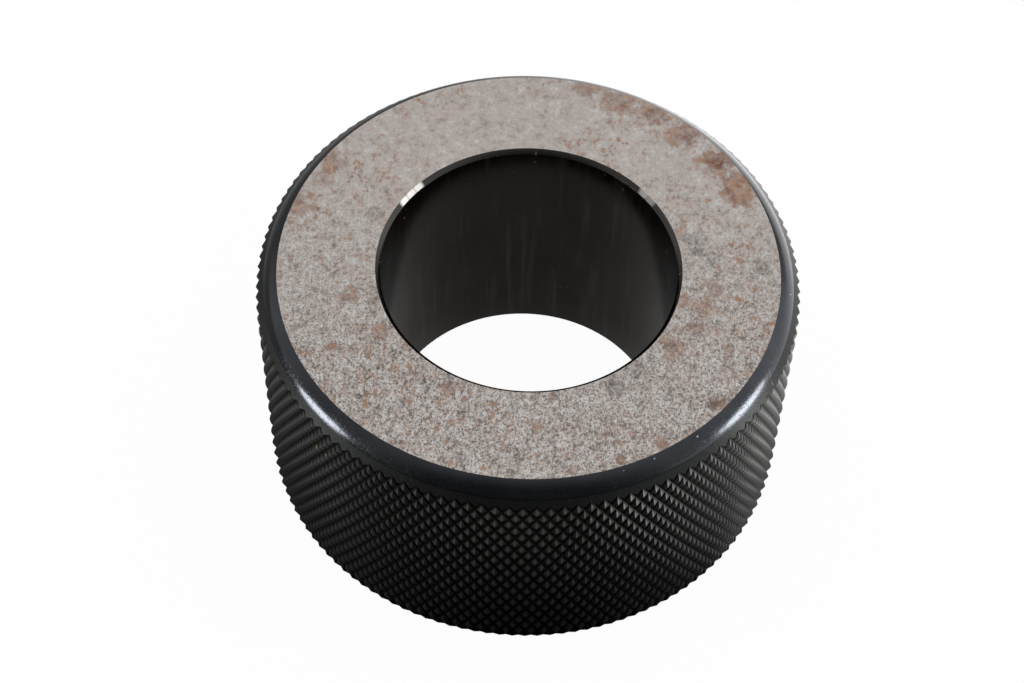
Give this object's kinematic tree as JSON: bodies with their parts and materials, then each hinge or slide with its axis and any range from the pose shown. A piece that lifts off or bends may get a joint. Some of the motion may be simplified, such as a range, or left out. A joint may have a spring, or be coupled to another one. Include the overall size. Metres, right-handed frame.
{
  "type": "setting ring gauge",
  "caption": "Thick plain steel ring with a ground bore, ground flat faces, rounded rims and a diamond-knurled outside, for setting bore gauges.",
  "frame": {"origin": "centre of the lower ground face, on the axis of the bore", "axes": "+Z along the axis of the bore, from the lower face to the upper one; the ring is the same all round it"},
  "size_m": [0.0636, 0.0636, 0.0333],
  "materials": {
    "ground_steel": "fine ground steel with rust freckles",
    "black_oxide": "satin black oxide on turned and knurled steel",
    "honed_bore": "honed and polished bore wall"
  },
  "bodies": {
    "root": {"gauge_ring": "ground_steel"}
  },
  "joints": []
}
